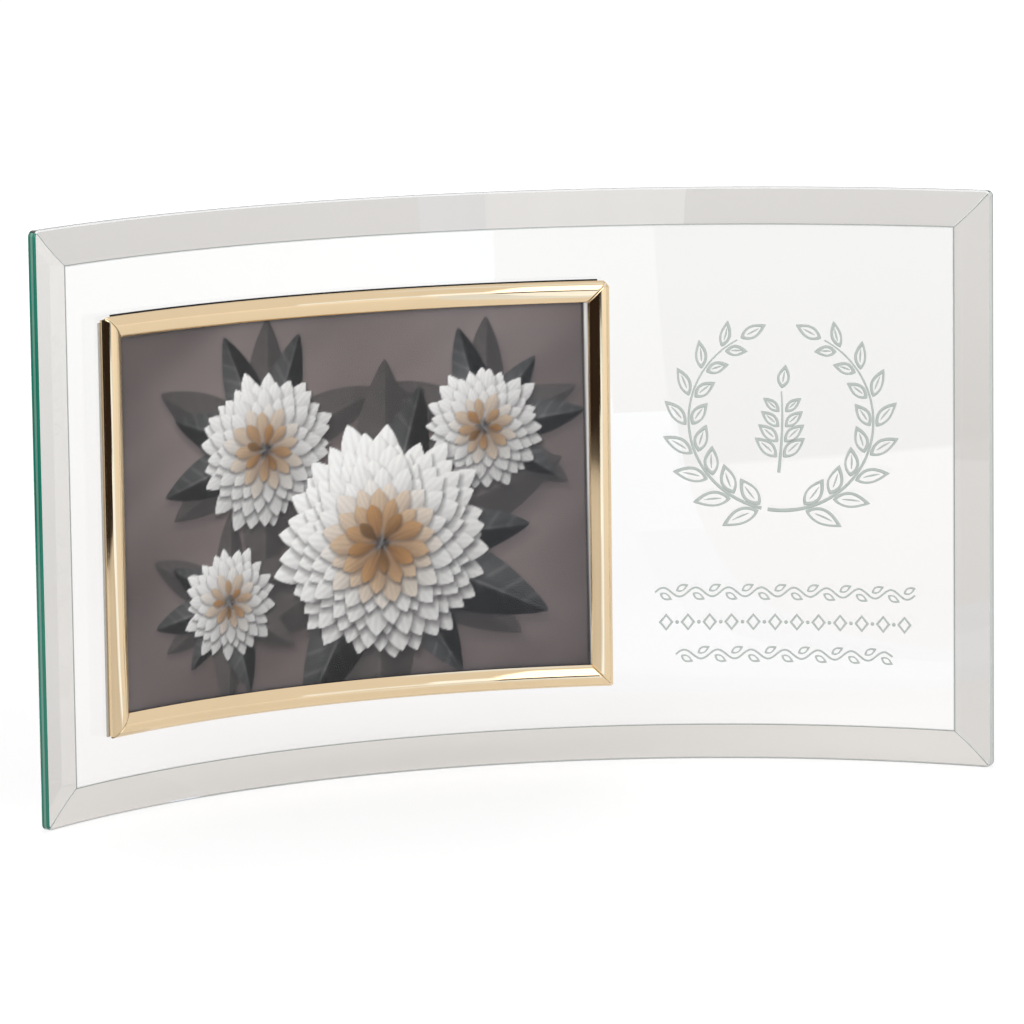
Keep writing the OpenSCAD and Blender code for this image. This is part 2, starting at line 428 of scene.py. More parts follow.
# %% [markdown]
# ## The bevelled panel
#
# The CAD panel has the right shape, but its facets are 12 mm wide, and polished glass shows every
# one of them. So the panel is built again, finer, from rings that run round its edge: field,
# bevel, arris, edge, arris and back. Each ring is a rectangle, inset from the rim, with a rounded or
# a nicked corner. A nick is the narrow pair of lines where two bevels meet. All rings have the same
# number of points, so each joins the next face to face.

# %% Rings of the panel
long_steps = 160
end_steps = 1
side_steps = (long_steps, end_steps, long_steps, end_steps)
corner_steps = 8
line_width = 0.32 * MM


def panel_ring(inset_s, inset_z, rounding=0.0, nick=line_width):
    """The s and z of the points of one ring, anticlockwise from the lower left corner."""
    low_s, high_s = inset_s - half_arc, half_arc - inset_s
    low_z, high_z = inset_z, glass_height - inset_z
    corners = np.array([(low_s, low_z), (high_s, low_z), (high_s, high_z), (low_s, high_z)])
    points = []
    for k, steps in enumerate(side_steps):
        corner, following = corners[k], corners[(k + 1) % 4]
        ahead = (following - corner) / np.linalg.norm(following - corner)
        inward = np.array([-ahead[1], ahead[0]])
        if rounding:
            turn = np.linspace(0, math.pi / 2, corner_steps + 1)[:, None]
            arc = corner + rounding * ((1 - np.cos(turn)) * ahead + (1 - np.sin(turn)) * inward)
        else:
            share = np.sign(np.arange(corner_steps + 1) - corner_steps / 2)[:, None]
            arc = corner + nick * (np.clip(-share, 0, 1) * inward + np.clip(share, 0, 1) * ahead)
        reach = rounding if rounding else nick
        straight = np.linspace(corner + reach * ahead, following - reach * ahead, steps + 1)[1:-1]
        points += [arc, straight]
    return np.concatenate(points)


def ring_steps():
    """The side that each step of a ring lies on, and its place in the corner, if it is in one."""
    sides, nicks = [], []
    for k, steps in enumerate(side_steps):
        half = corner_steps // 2
        sides += [(k - 1) % 4] * half + [k] * half + [k] * steps
        nicks += [0] * (half - 1) + [-1, 1] + [0] * (half - 1) + [0] * steps
    return sides, nicks


step_sides, step_nicks = ring_steps()
print("each ring has", len(step_sides), "points")

# %% [markdown]
# Now the zones between the rings. Along a ridge the light catches twice, a bright line on the field and
# a dark one on the bevel. So two very narrow bands go there, with a painted highlight and a painted
# shade. The nicks at the mitres get the same pair, and the arrises of the long edges a painted
# highlight. The end faces get strips across the thickness of the glass: green, pale, green on the left,
# and pale with a grey line on the right, where one looks along the glass and not into it. The green is
# the glass's own colour; the pale strips and the grey line are painted light.

# %% Zones between the rings
side_names = ["bottom", "right", "top", "left"]
end_zones = {
    "left": {"arris": "end_green", "front": "end_green", "middle": "end_middle", "back": "end_green"},
    "right": {"arris": "end_pale", "front": "end_pale", "middle": "end_pale", "back": "end_grey"},
}
# The arrises of the long edges get the painted highlight.
end_zones["top"] = {"arris": "painted_highlight_line"} | dict.fromkeys(("front", "middle", "back"), "long_edge")
end_zones["bottom"] = end_zones["top"]


def glass_band_zone(band, side, nick):
    """The zone of a face, from its band, its side and its place in a corner."""
    if band == "bevel":
        if nick:
            # A nick at a mitre gets a painted shade on one side and a painted highlight on the other.
            return "painted_shade_line" if nick < 0 else "painted_highlight_line"
        return "bevel_" + side_names[side]
    if band in ("arris", "front", "middle", "back"):
        return end_zones[side_names[side]][band]
    return band


print("a face of the left end is", glass_band_zone("front", side_names.index("left"), 0))

# %% [markdown]
# The rings go from the front field over the bevels and round the rim to the back. Each has its
# height, or none where it lies on the bevels, and the band of faces that it begins.

# %% Rings from the field to the back
corner_radius = 2 * MM
foot_h = -(bevel_depth + arris)
back_h = -(glass_thick - arris)


def bevel_inset(share):
    """Insets of the ring that lies at a share of the way down the bevels."""
    from_end = bevel_width + share * (arris - bevel_width)
    return from_end, matching_inset(from_end)


def panel_rings():
    """Rings of the panel: its s and z, its height, and the band that it begins."""
    edge = bevel_width + 0.9 * line_width
    # The two narrowest rings start the painted highlight on the field and the painted shade on the
    # bevel.
    rings = [(panel_ring(edge, edge, nick=0), 0.0, "painted_highlight_line")]
    rings.append((panel_ring(bevel_width, bevel_width), 0.0, "painted_shade_line"))
    for share in (0.03, 0.3, 0.6):
        rings.append((panel_ring(*bevel_inset(share)), None, "bevel"))
    rings.append((panel_ring(*bevel_inset(1), rounding=corner_radius - arris), None, "arris"))
    rim = panel_ring(0, 0, rounding=corner_radius)
    for share, band in ((0, "front"), (0.25, "middle"), (0.62, "back")):
        rings.append((rim, foot_h + share * (back_h - foot_h), band))
    rings.append((rim, back_h, "long_edge"))
    rings.append((panel_ring(arris, arris, rounding=corner_radius - arris), -glass_thick, "field"))
    rings.append((panel_ring(bevel_width, bevel_width, nick=0), -glass_thick, "field"))
    return rings


print("the panel has", len(panel_rings()), "rings")

# %% [markdown]
# Places that two rings share become one corner, so the mesh is closed. Each step from one ring to
# the next gives a face, with three or four corners. Upright quads then fill both fields.

# %% The panel's mesh
def band_faces(rings, number):
    """Faces from each ring to the next, with the zone and the band of each."""
    count = number.shape[1]
    faces, zones = [], []
    for row, (_, _, band) in enumerate(rings[:-1]):
        for i in range(count):
            j = (i + 1) % count
            around = [number[row + 1, i], number[row + 1, j], number[row, j], number[row, i]]
            face = [int(corner) for k, corner in enumerate(around) if corner != around[k - 1]]
            if len(face) > 2:
                faces.append(face)
                zones.append((glass_band_zone(band, step_sides[i], step_nicks[i]), band))
    return faces, zones


def field_faces(ring):
    """Upright quads that fill a ring."""
    top_start = 3 * corner_steps + long_steps + end_steps
    bottom = ring[corner_steps : corner_steps + long_steps + 1].tolist()
    top = ring[top_start : top_start + long_steps + 1][::-1].tolist()
    return [[bottom[i], bottom[i + 1], top[i + 1], top[i]] for i in range(long_steps)]


def make_glass():
    """The whole panel, as one closed mesh."""
    rings = panel_rings()
    heights = [-front_depth(*ring.T) if h is None else h for ring, h, _ in rings]
    stacked = np.concatenate([on_bend(r[:, 0], h, r[:, 1]) for (r, _, _), h in zip(rings, heights)])
    places, number = np.unique(np.round(stacked, 8), axis=0, return_inverse=True)
    number = number.reshape(len(rings), -1)
    faces, zones = band_faces(rings, number)
    faces += field_faces(number[0]) + [face[::-1] for face in field_faces(number[-1])]
    zones += [("field", "front_field")] * long_steps + [("field", "field")] * long_steps
    return make_piece(
        "bent_glass", places, faces, list(glass_finishes.values()), "frame",
        finish=[glass_zone_names.index(zone) for zone, _ in zones], zones=zones,
    )


bent_glass = make_glass()
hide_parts("glass_panel")

# %% [markdown]
# ## Where the moulding and its sheets sit
#
# Their places come from the CAD pieces, read in the lengths of the bend. The groove of the moulding
# is open towards its middle, and the print with its sheets drops into it from above.

# %% Sizes of the moulding
stile_low, stile_high = extent("bezel_left_stile")
bezel_left, bezel_right = stile_low[0], extent("bezel_right_stile")[1][0]
bezel_foot, bezel_head = extent("bezel_bottom_rail")[0][2], extent("backing_card")[1][2]
moulding_width = stile_high[0] - bezel_left
leg_back = stile_low[1]
leg_top = leg_back + 0.35 * MM
lip_back = extent("cover_sheet")[1][1] + 0.18 * MM
lip_edge = lip_back + 0.08 * MM
sight_top = lip_back + 0.45 * MM
groove_floor = moulding_width - 3.8 * MM
leg_end = groove_floor + 3 * MM
sight_left, sight_right = bezel_left + moulding_width, bezel_right - moulding_width
sight_foot, sight_head = bezel_foot + moulding_width, bezel_head - moulding_width
print("the moulding is", round(moulding_width / MM, 2), "mm wide")

# %% [markdown]
# ## The section of the moulding
#
# A metal moulding like this is rolled from strip. Seen end on, it arches from a short outer wall
# over a ridge near its outer side, then falls in a flat curve to the sight edge, where a narrow
# chamfer catches a line of its own. Under the arch lies the groove. The outline is an ellipse and an
# arc, because the highlights in polished gold run exactly where those curves turn. The top length
# has no outer wall: it is cut off level with the back of the lip, so that a print can drop in.

# %% The section of the moulding
ridge_inset = 3.4 * MM
ridge_top = stile_high[1]
wall_top = leg_back + 0.65 * MM
sight_chamfer = 0.4 * MM


def arch(from_angle=0.0, curve_steps=14):
    """The arched top, from the outer wall to the sight edge: distance in and height."""
    turn = np.linspace(from_angle, math.pi / 2, curve_steps)
    rise = ridge_top - wall_top
    outer = [ridge_inset * (1 - np.cos(turn)), wall_top + rise * np.sin(turn)]
    run = moulding_width - sight_chamfer - ridge_inset
    drop = ridge_top - sight_top
    radius = (run**2 + drop**2) / (2 * drop)
    turn = np.linspace(0, math.asin(run / radius), curve_steps)[1:]
    inner = [ridge_inset + radius * np.sin(turn), ridge_top - radius * (1 - np.cos(turn))]
    return np.concatenate([outer, inner, [[moulding_width], [lip_edge]]], axis=1).T


full_section = np.concatenate([
    [(0, leg_back)], arch(),
    [(moulding_width, lip_back), (groove_floor, lip_back), (groove_floor, leg_top)],
    [(leg_end, leg_top), (leg_end, leg_back)],
])
cut_angle = math.asin((lip_back - wall_top) / (ridge_top - wall_top))
open_section = np.concatenate([arch(cut_angle), [(moulding_width, lip_back)]])
print("the section has", len(full_section), "points; the ridge is", round(ridge_top / MM, 2), "mm high")

# %% [markdown]
# ## Polished gold plate
#
# Gold plate is a metal with a warm base colour and very little roughness. What one sees in it is
# the room, so most of its look comes from the reflection cards near the end of this lesson. Strip
# that is drawn through a die also keeps faint lines along its length. They need a texture that runs
# along each length and round its section, so the mesh gets a UV map with just those two lengths.

# %% Polished gold plate
def polished_gold():
    """Gold plate over drawn strip: even in colour, with faint lines along each length."""
    material, nodes, links = blank_material("pale_gold")
    plate = add_node(nodes, "ShaderNodeBsdfPrincipled", Metallic=1.0)
    handling = patches(nodes, links, 60)
    gold, worn = (0.765, 0.595, 0.38, 1), (0.725, 0.56, 0.36, 1)
    links.new(blended(nodes, links, handling, gold, worn), plate.inputs["Base Color"])
    links.new(spread(nodes, links, handling, 0.04, 0.08), plate.inputs["Roughness"])
    lengths = nodes.new("ShaderNodeUVMap")
    lengths.uv_map = "along_and_round"
    stretch = add_node(nodes, "ShaderNodeMapping", Scale=(8, 2600, 1))
    draw_lines = add_node(nodes, "ShaderNodeTexNoise", Scale=1.0, Detail=2.0)
    links.new(lengths.outputs["UV"], stretch.inputs["Vector"])
    links.new(stretch.outputs["Vector"], draw_lines.inputs["Vector"])
    add_relief(nodes, links, draw_lines.outputs["Fac"], plate, 0.12, 0.1 * MM)
    show(nodes, links, plate.outputs["BSDF"])
    return material


gold_plate = polished_gold()
print("gold plate is ready")

# %% [markdown]
# ## Mitred ends
#
# The ends of each length are cut at 45 degrees, so a point that lies further in starts later. At the
# outer corners a small clip takes the point off. Just before the cut the metal rolls down a little,
# and more so at the clip. That is why a mitre shows as a fine bright and a fine dark line, and a
# clipped corner has a bright rim.

# %% Mitred ends
mitre_gap = 0.2 * MM
left_head_clip, right_head_clip = 1.2 * MM, 2.2 * MM
foot_clip = 0.7 * MM
roll_length = 0.5 * MM
roll_depth = 0.2 * MM
clip_roll_length = 1.5 * MM
clip_roll_depth = 0.9 * MM
roll_places = np.array([0, 0.1, 0.22, 0.35, 0.5, 0.8, 1.15, 1.5]) * MM


def cut_back(inset, clip):
    """How far a point at some distance in lies from the end of its length."""
    return np.maximum(inset, clip - inset) + mitre_gap / 2


def roll(from_cut, inset, clip):
    """How far the metal rolls down at a distance from the cut, more where the clip takes it off."""
    clipped = np.clip(1 - inset / clip, 0, 1)
    length = roll_length + clipped * (clip_roll_length - roll_length)
    depth = roll_depth + clipped * (clip_roll_depth - roll_depth)
    return depth * np.clip(1 - from_cut / length, 0, 1) ** 2


def carry(section, start, end, start_clip, end_clip, steps):
    """Rows along a length, each with the place of every section point along it and its height."""
    inset, height = section.T
    first = start + cut_back(inset, start_clip)
    last = end - cut_back(inset, end_clip)
    share = np.linspace(0, 1, steps + 1)[1:-1, None]
    inner_first, inner_last = first + roll_places[-1], last - roll_places[-1]
    along = np.concatenate([
        first + roll_places[:, None],
        inner_first + share * (inner_last - inner_first),
        last - roll_places[::-1, None],
    ])
    drop = roll(along - first, inset, start_clip) + roll(last - along, inset, end_clip)
    share_up = np.clip((height - lip_edge) / (sight_top - lip_edge), 0, 1)
    return along, height - share_up * drop


print("a mitre is open by", mitre_gap / MM, "mm")

# %% [markdown]
# ## The four lengths of the moulding
#
# A length is a tube: rows of section points along the bend or up a side, joined by quads and closed
# at both ends. The bottom rail and the right stile are laid the other way round, so their faces are
# turned. The UV map holds the place along the length and round the section, for the draw lines.

# %% The four lengths of the moulding
def make_length(name, node, section, lays, start, end, clips, steps, flipped):
    """One mitred length: lays turns places along it, insets and heights into places in the world."""
    along, height = carry(section, start, end, *clips, steps)
    places = lays(along, np.broadcast_to(section[:, 0], along.shape), height)
    rows, points = along.shape
    faces = []
    for i in range(rows - 1):
        for j in range(points):
            following = (j + 1) % points
            here, ahead = i * points, (i + 1) * points
            faces.append([here + j, here + following, ahead + following, ahead + j])
    faces += [list(range(points))[::-1], [(rows - 1) * points + j for j in range(points)]]
    if flipped:
        faces = [face[::-1] for face in faces]
    piece = make_piece(name, places, faces, [gold_plate], "frame", crisp=32)
    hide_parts(node)
    steps_round = np.linalg.norm(np.diff(section, axis=0, prepend=section[:1]), axis=1)
    along_and_round = np.stack([along, np.broadcast_to(np.cumsum(steps_round), along.shape)], axis=-1)
    corners = [loop.vertex_index for loop in piece.data.loops]
    layer = piece.data.uv_layers.new(name="along_and_round")
    layer.uv.foreach_set("vector", along_and_round.reshape(-1, 2)[corners].ravel())
    return piece


make_length(
    "top_moulding", "bezel_top_rail", open_section,
    lambda along, inset, height: on_bend(along, height, bezel_head - inset),
    bezel_left, bezel_right, (left_head_clip, right_head_clip), 120, False,
)
make_length(
    "bottom_moulding", "bezel_bottom_rail", full_section,
    lambda along, inset, height: on_bend(along, height, bezel_foot + inset),
    bezel_left, bezel_right, (foot_clip, foot_clip), 120, True,
)
make_length(
    "left_moulding", "bezel_left_stile", full_section,
    lambda along, inset, height: on_bend(bezel_left + inset, height, along),
    bezel_foot, bezel_head, (foot_clip, left_head_clip), 24, False,
)
make_length(
    "right_moulding", "bezel_right_stile", full_section,
    lambda along, inset, height: on_bend(bezel_right - inset, height, along),
    bezel_foot, bezel_head, (foot_clip, right_head_clip), 24, True,
)

# %% [markdown]
# ## Keys, tape and card
#
# These carried-over CAD pieces already have the right shape, so they only get finishes. The corner
# keys are stamped brass, dulled by handling. The tape is soft white foam. The card is black and
# slightly fibrous, so it swallows light and keeps the print's edges crisp.

# %% Keys, tape and card
dull_brass = solid_finish(
    "stamped_brass", (0.46, 0.33, 0.14, 1), (0.60, 0.44, 0.20, 1), 300, 0.3, 0.5,
    relief=0.2, metallic=1.0,
)
soft_tape = solid_finish(
    "foam_tape", linear(206, 204, 199), linear(190, 188, 183), 700, 0.6, 0.8, relief=0.3
)
black_card = solid_finish(
    "black_card", (0.010, 0.010, 0.011, 1), (0.020, 0.019, 0.020, 1), 2400, 0.75, 0.95, relief=0.12
)
finish_of_node = {"backing_card": black_card}
for side in ("left", "right", "bottom"):
    finish_of_node["tape_" + side] = soft_tape
for corner in ("top_left", "top_right", "bottom_left", "bottom_right"):
    finish_of_node["corner_key_" + corner] = dull_brass
for node, finish in finish_of_node.items():
    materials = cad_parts[node].data.materials
    materials.clear()
    materials.append(finish)
print("finished", len(finish_of_node), "carried-over pieces")

# %% [markdown]
# ## Bent sheets
#
# The clear film and the print are thin sheets that follow the bend. The front of each is a grid,
# and for the print a fine one. The back only needs the rows at its foot and its head, because
# nobody paints on it. A narrow border of the front can have a finish of its own.

# %% Bent sheets
def with_ends(low, high, count, margin):
    """Evenly spaced values between two margins, and both ends."""
    return np.unique(np.concatenate([[low], np.linspace(low + margin, high - margin, count), [high]]))


def bent_sheet(node, columns, rows, margin):
    """Places of the front and of the back of a fine bent sheet that fills the box of a CAD sheet."""
    low, high = extent(node)
    s = with_ends(low[0], high[0], columns, margin)[None, :]
    z = with_ends(low[2], high[2], rows, margin)[:, None]
    return on_bend(s, high[1], z), on_bend(s, low[1], z)


def closed_sheet(rows, columns):
    """Faces of a closed sheet, and for each the part that it belongs to."""
    def front(row, column):
        return row * columns + column

    back_foot = rows * columns
    back_head = back_foot + columns
    faces, parts = [], []
    for r in range(rows - 1):
        for c in range(columns - 1):
            faces.append([front(r, c), front(r, c + 1), front(r + 1, c + 1), front(r + 1, c)])
            parts.append("border" if r in (0, rows - 2) or c in (0, columns - 2) else "front")
    for c in range(columns - 1):
        faces.append([back_foot + c, back_foot + c + 1, front(0, c + 1), front(0, c)])
        faces.append([front(rows - 1, c), front(rows - 1, c + 1), back_head + c + 1, back_head + c])
        faces.append([back_head + c, back_head + c + 1, back_foot + c + 1, back_foot + c])
        parts += ["rim", "rim", "back"]
    last = columns - 1
    left = [front(r, 0) for r in range(rows)] + [back_head, back_foot]
    right = [front(r, last) for r in range(rows)] + [back_head + last, back_foot + last]
    return faces + [left, right[::-1]], parts + ["rim", "rim"]


def make_sheet(name, node, columns, rows, margin, finishes, body):
    """A closed bent sheet in place of a CAD sheet, with a finish for each of its parts."""
    front, back = bent_sheet(node, columns, rows, margin)
    places = np.concatenate([front.reshape(-1, 3), back[0], back[-1]])
    faces, parts = closed_sheet(*front.shape[:2])
    order = list(finishes)
    numbers = [order.index(part) for part in parts]
    materials = list(finishes.values())
    piece = make_piece(name, places, faces, materials, body, crisp=40, finish=numbers)
    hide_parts(node)
    return piece


print("a sheet of 3 by 3 points has", len(closed_sheet(3, 3)[0]), "faces")

# %% [markdown]
# ## Clear cover sheet
#
# A thin plastic sheet keeps fingers off the print. Nearly all that shows of it is a faint gloss, so
# its index of refraction is set lower than that of the glass. Its cut edge is dull. The lip hides
# that, and it only shows when the sheet is drawn out.

# %% Clear cover sheet
def clear_plastic():
    """Clear plastic film with a faint gloss."""
    material, nodes, links = blank_material("clear_film")
    film = add_node(nodes, "ShaderNodeBsdfPrincipled", Transmission_Weight=1.0, IOR=1.18)
    grain = patches(nodes, links, 25)
    tint = blended(nodes, links, grain, (0.985, 0.985, 0.985, 1), (0.97, 0.975, 0.98, 1))
    links.new(tint, film.inputs["Base Color"])
    links.new(spread(nodes, links, grain, 0.0, 0.02), film.inputs["Roughness"])
    lamps_pass(nodes, links, film, (0.98, 0.98, 0.98, 1))
    return material


clear_film = clear_plastic()
film_edge = solid_finish("film_edge", linear(120, 130, 134), linear(150, 158, 161), 400, 0.2, 0.4)
film_finishes = {"front": clear_film, "border": film_edge, "rim": film_edge, "back": clear_film}
cut_edge_width = 0.4 * MM
make_sheet("cover_film", "cover_sheet", 90, 2, cut_edge_width, film_finishes, "cover")

# %% [markdown]
# ## A picture for the print
#
# The frame holds a photo print, and an empty frame would look unfinished. So this step paints one:
# white dahlias with tan hearts and charcoal leaves on a mottled mauve-grey backdrop. Image files
# aren't needed for that. The print's mesh is a fine grid, and each of its corners gets a colour,
# painted from back to front like a real canvas: backdrop, far leaves, near leaves, blossoms.

# %% The canvas
picture_low, picture_high = extent("photo_print")
picture_width = (picture_high[0] - picture_low[0]) / MM
picture_height = (picture_high[2] - picture_low[2]) / MM
picture_columns, picture_rows = 369, 265
across, up = np.meshgrid(
    np.linspace(0, picture_width, picture_columns), np.linspace(0, picture_height, picture_rows)
)
cell = picture_width / (picture_columns - 1)
lamp_heading = math.radians(125)
chance = np.random.default_rng(7)


def clouds(size, weight, lean=0.0, stretch=1.0):
    """Soft patches of the given size in millimetres, stretched along a leaning line."""
    total = np.zeros_like(across)
    u = across * math.cos(lean) + up * math.sin(lean)
    v = up * math.cos(lean) - across * math.sin(lean)
    for octave in range(4):
        for heading, phase in chance.uniform(0, 2 * math.pi, (5, 2)):
            wave = u * math.cos(heading) / stretch + v * math.sin(heading)
            total += 0.6**octave * np.sin(2**octave / size * wave + phase)
    return weight * total / 4


backdrop = np.array([0.473, 0.428, 0.422])
mottle = clouds(34, 0.040) + clouds(15, 0.070, lean=math.radians(35), stretch=7)
share_across, share_up = across / picture_width, up / picture_height
tone = 0.08 - 0.16 * share_across - 0.08 * share_up + 0.23 * share_across * share_up
canvas = backdrop + (mottle + tone)[..., None] * np.array([1.0, 0.98, 0.99])
rim_distance = np.minimum(
    np.minimum(across, picture_width - across), np.minimum(up, picture_height - up)
)
canvas *= (0.88 + 0.12 * np.clip(rim_distance / 35, 0, 1))[..., None]
print("the canvas has a point every", round(cell, 2), "mm")

# %% [markdown]
# Petals and leaves are tongues with a root and a tip. The brush only touches the part of the canvas
# that a tongue covers, which makes hundreds of strokes quick. Each stroke starts with a shadow that
# falls on what lies under it. The fullness of a tongue moves its widest place: petals are widest
# near the tip, leaves below their middle.

# %% The brush
petal_fullness, leaf_fullness = 1.7, 0.85
brush_softness = 1.3


def brush_window(root, heading, length, width):
    """Rows and columns of the canvas round a tongue."""
    tip = (root[0] + length * math.cos(heading), root[1] + length * math.sin(heading))
    spare = 0.7 * width + 0.12 * length
    low = np.floor((np.minimum(root, tip) - spare) / cell).astype(int)
    high = np.ceil((np.maximum(root, tip) + spare) / cell).astype(int)
    return slice(max(low[1], 0), max(high[1], 0)), slice(max(low[0], 0), max(high[0], 0))


def tongue(window, root, heading, length, width, fullness):
    """Share along a tongue, share out to its side, and how deep inside its outline."""
    dx, dy = across[window] - root[0], up[window] - root[1]
    along = (dx * math.cos(heading) + dy * math.sin(heading)) / length
    side = (dy * math.cos(heading) - dx * math.sin(heading)) / (width / 2)
    outline = np.sin(math.pi * np.clip(along, 0, 1) ** fullness) ** 0.8
    return along, side, np.where((along > 0) & (along < 1), outline - np.abs(side), -1.0)


def lay(window, colour, cover):
    """Lays a colour on the canvas, as thickly as the cover says."""
    canvas[window] += (np.asarray(colour) - canvas[window]) * cover[..., None]


def lay_between(window, dark, light, level, cover):
    """Lays a colour that runs from dark to light."""
    share = np.clip(level, 0, 1)[..., None]
    lay(window, np.asarray(dark) + (np.asarray(light) - np.asarray(dark)) * share, cover)


def cast_shadow(window, root, heading, length, width, fullness, shade):
    """The shadow of a tongue, a little lower and a little wider than the tongue."""
    fall = 0.05 * length
    under = (root[0] + 0.3 * fall, root[1] - fall)
    _, _, near = tongue(window, under, heading, length * 1.05, width * 1.25, fullness)
    lay(window, (0.13, 0.12, 0.13), shade * np.clip(near / 0.5, 0, 1))


def begin_stroke(root, heading, length, width, fullness, shade):
    """Casts a tongue's shadow, and gives its window, its shares along and aside, and its cover."""
    window = brush_window(root, heading, length, width)
    cast_shadow(window, root, heading, length, width, fullness, shade)
    along, side, inside = tongue(window, root, heading, length, width, fullness)
    cover = np.clip(inside * width / (brush_softness * cell), 0, 1)
    return window, np.clip(along, 0, 1), side, cover


small_stroke = across[brush_window((60, 60), 0.0, 20, 7)].size
print("a stroke 20 mm long touches", small_stroke, "of", across.size, "points")

# %% [markdown]
# A petal has a soft fold in its middle and is lighter on the side that faces the lamp. A leaf folds
# along a pale midrib: one half catches the light, the other lies in shade, and side veins run out.

# %% Petals and leaves
def paint_petal(root, heading, length, width, light, dark):
    """Paints one petal, from its root outwards."""
    window, held, side, cover = begin_stroke(root, heading, length, width, petal_fullness, 0.45)
    facing = math.cos(lamp_heading - heading - math.pi / 2)
    fold = -0.20 * np.exp(-((side / 0.16) ** 2)) * (1 - held)
    veins = 0.05 * np.sin(14 * side + 3 * held + root[0]) * held
    level = 0.42 + 0.58 * held**0.8 + 0.2 * facing * side - 0.2 * side**2 + fold + veins
    lay_between(window, dark, light, level, cover)


def paint_leaf(root, heading, length, width, light, dark):
    """Paints one leaf, from its root outwards."""
    window, held, side, cover = begin_stroke(root, heading, length, width, leaf_fullness, 0.30)
    lit_half = 0.34 + 0.30 * np.tanh(6 * side) * math.copysign(1, math.sin(heading + 0.9))
    midrib = 0.55 * np.exp(-((side * width / 1.1) ** 2)) * (1 - 0.5 * held)
    veins = 0.16 * np.maximum(0, np.sin(46 * held - 7 * np.abs(side))) ** 4
    sheen = 0.22 * np.exp(-(((held - 0.45) / 0.25) ** 2)) * (1 - np.abs(side))
    level = lit_half + midrib + veins + sheen - 0.25 * held
    lay_between(window, dark, light, level, cover)


for name, fullness in (("petal", petal_fullness), ("leaf", leaf_fullness)):
    print("a", name, "is widest", round(0.5 ** (1 / fullness), 2), "of the way out")

# %% [markdown]
# A dahlia sets its petals at the golden angle, each a little further in than the last. Painting
# them from the outside in gives the full, paper-like heads without drawing a single one by hand.

# %% Blossoms
golden_angle = math.pi * (3 - math.sqrt(5))
white, grey_root = np.array([0.97, 0.965, 0.955]), np.array([0.50, 0.485, 0.49])
tan_light, tan_dark = np.array([0.76, 0.57, 0.37]), np.array([0.30, 0.19, 0.12])


def paint_blossom(centre, reach, petals, tilt, brightness):
    """A dahlia head, lighter towards the lamp at its upper left, with a dark spot in its heart."""
    for k in range(petals, 0, -1):
        share = math.sqrt(k / petals)
        heading = k * golden_angle + tilt
        length = reach * (0.20 + 0.80 * share) * chance.uniform(0.90, 1.07)
        width = length * (0.30 + 0.14 * (1 - share)) * chance.uniform(0.9, 1.1)
        start = 0.09 * reach * share
        root = (centre[0] + start * math.cos(heading), centre[1] + start * math.sin(heading))
        lamp = brightness * (0.95 + 0.12 * share * math.cos(heading - lamp_heading))
        warm = float(np.clip(1.55 - 2.9 * share, 0, 1))
        core = float(np.clip(1.0 - 5.5 * share, 0, 1))
        light = (white + (tan_light - white) * warm) * lamp * (1 - 0.55 * core)
        dark = (grey_root + (tan_dark - grey_root) * warm) * lamp * (1 - 0.7 * core)
        paint_petal(root, heading, length, width, light, dark)


def paint_leaves(centre, reach, headings, light, dark):
    """Leaves that reach out from under a blossom."""
    for turn, heading in enumerate(headings):
        length = reach * (1.60 + 0.16 * math.sin(3 * turn + reach))
        paint_leaf(centre, math.radians(heading), length, 0.36 * length, light, dark)


print("petals turn by", round(math.degrees(golden_angle), 1), "degrees")

# %% [markdown]
# Four heads of different sizes make the bunch. Each has its centre, its reach, its number of
# petals, its turn, its brightness and the headings of its dark leaves. The pale leaves far back go
# first, then the dark ones, then the blossoms.

# %% The bunch
ash, charcoal = (0.50, 0.50, 0.50), (0.075, 0.075, 0.08)
faint_light, faint_dark = (0.40, 0.375, 0.37), (0.25, 0.235, 0.235)
heads = [
    ((62, 82), 25, 90, 0.4, 0.97, (70, 112, 160, 196)),
    ((140, 84), 20, 76, 1.4, 0.95, (8, 52, 104, -34)),
    ((104, 48), 36, 150, 0.0, 1.0, (4, -24, -58, -118, 74)),
    ((47, 34), 18, 66, 2.2, 0.96, (150, 190, 232, 284)),
]
for centre, reach, *_ in heads:
    paint_leaves(centre, 1.12 * reach, (22, 88, 152, 208, 268, 326), faint_light, faint_dark)
for centre, reach, *_, leaf_headings in heads:
    paint_leaves(centre, reach, leaf_headings, ash, charcoal)
for centre, reach, petals, tilt, brightness, _ in heads:
    paint_blossom(centre, reach, petals, tilt, brightness)
canvas = np.clip(canvas + chance.normal(0, 0.006, across.shape)[..., None], 0, 1)
print("painted", sum(head[2] for head in heads), "petals")

# %% [markdown]
# The print lies a touch askew in its groove, so a sliver of its white border shows at the right, wider
# at the top. A painted shadow line runs just inside that border. The moulding stands proud of the
# print, and a painted shade dims the last millimetre beside it.

# %% Border and edge shade
sight_to_left = (sight_left - picture_low[0]) / MM
sight_to_right = (sight_right - picture_low[0]) / MM
sight_to_foot = (sight_foot - picture_low[2]) / MM
sight_to_head = (sight_head - picture_low[2]) / MM
border_width = 1.25
border_colour = np.array([0.955, 0.948, 0.938])
border_start = sight_to_right - border_width * up / picture_height
border = np.clip((across - border_start) / cell + 0.5, 0, 1)
# Painted shadow: a dark line just inside the border, where the picture's edge meets it.
border_shadow_line = np.clip(1 - np.abs(across - border_start + 0.5) / 0.5, 0, 1)
from_stiles = np.minimum(across - sight_to_left, sight_to_right - across)
from_rails = np.minimum(up - sight_to_foot, sight_to_head - up)
from_sight = np.minimum(from_stiles, from_rails)
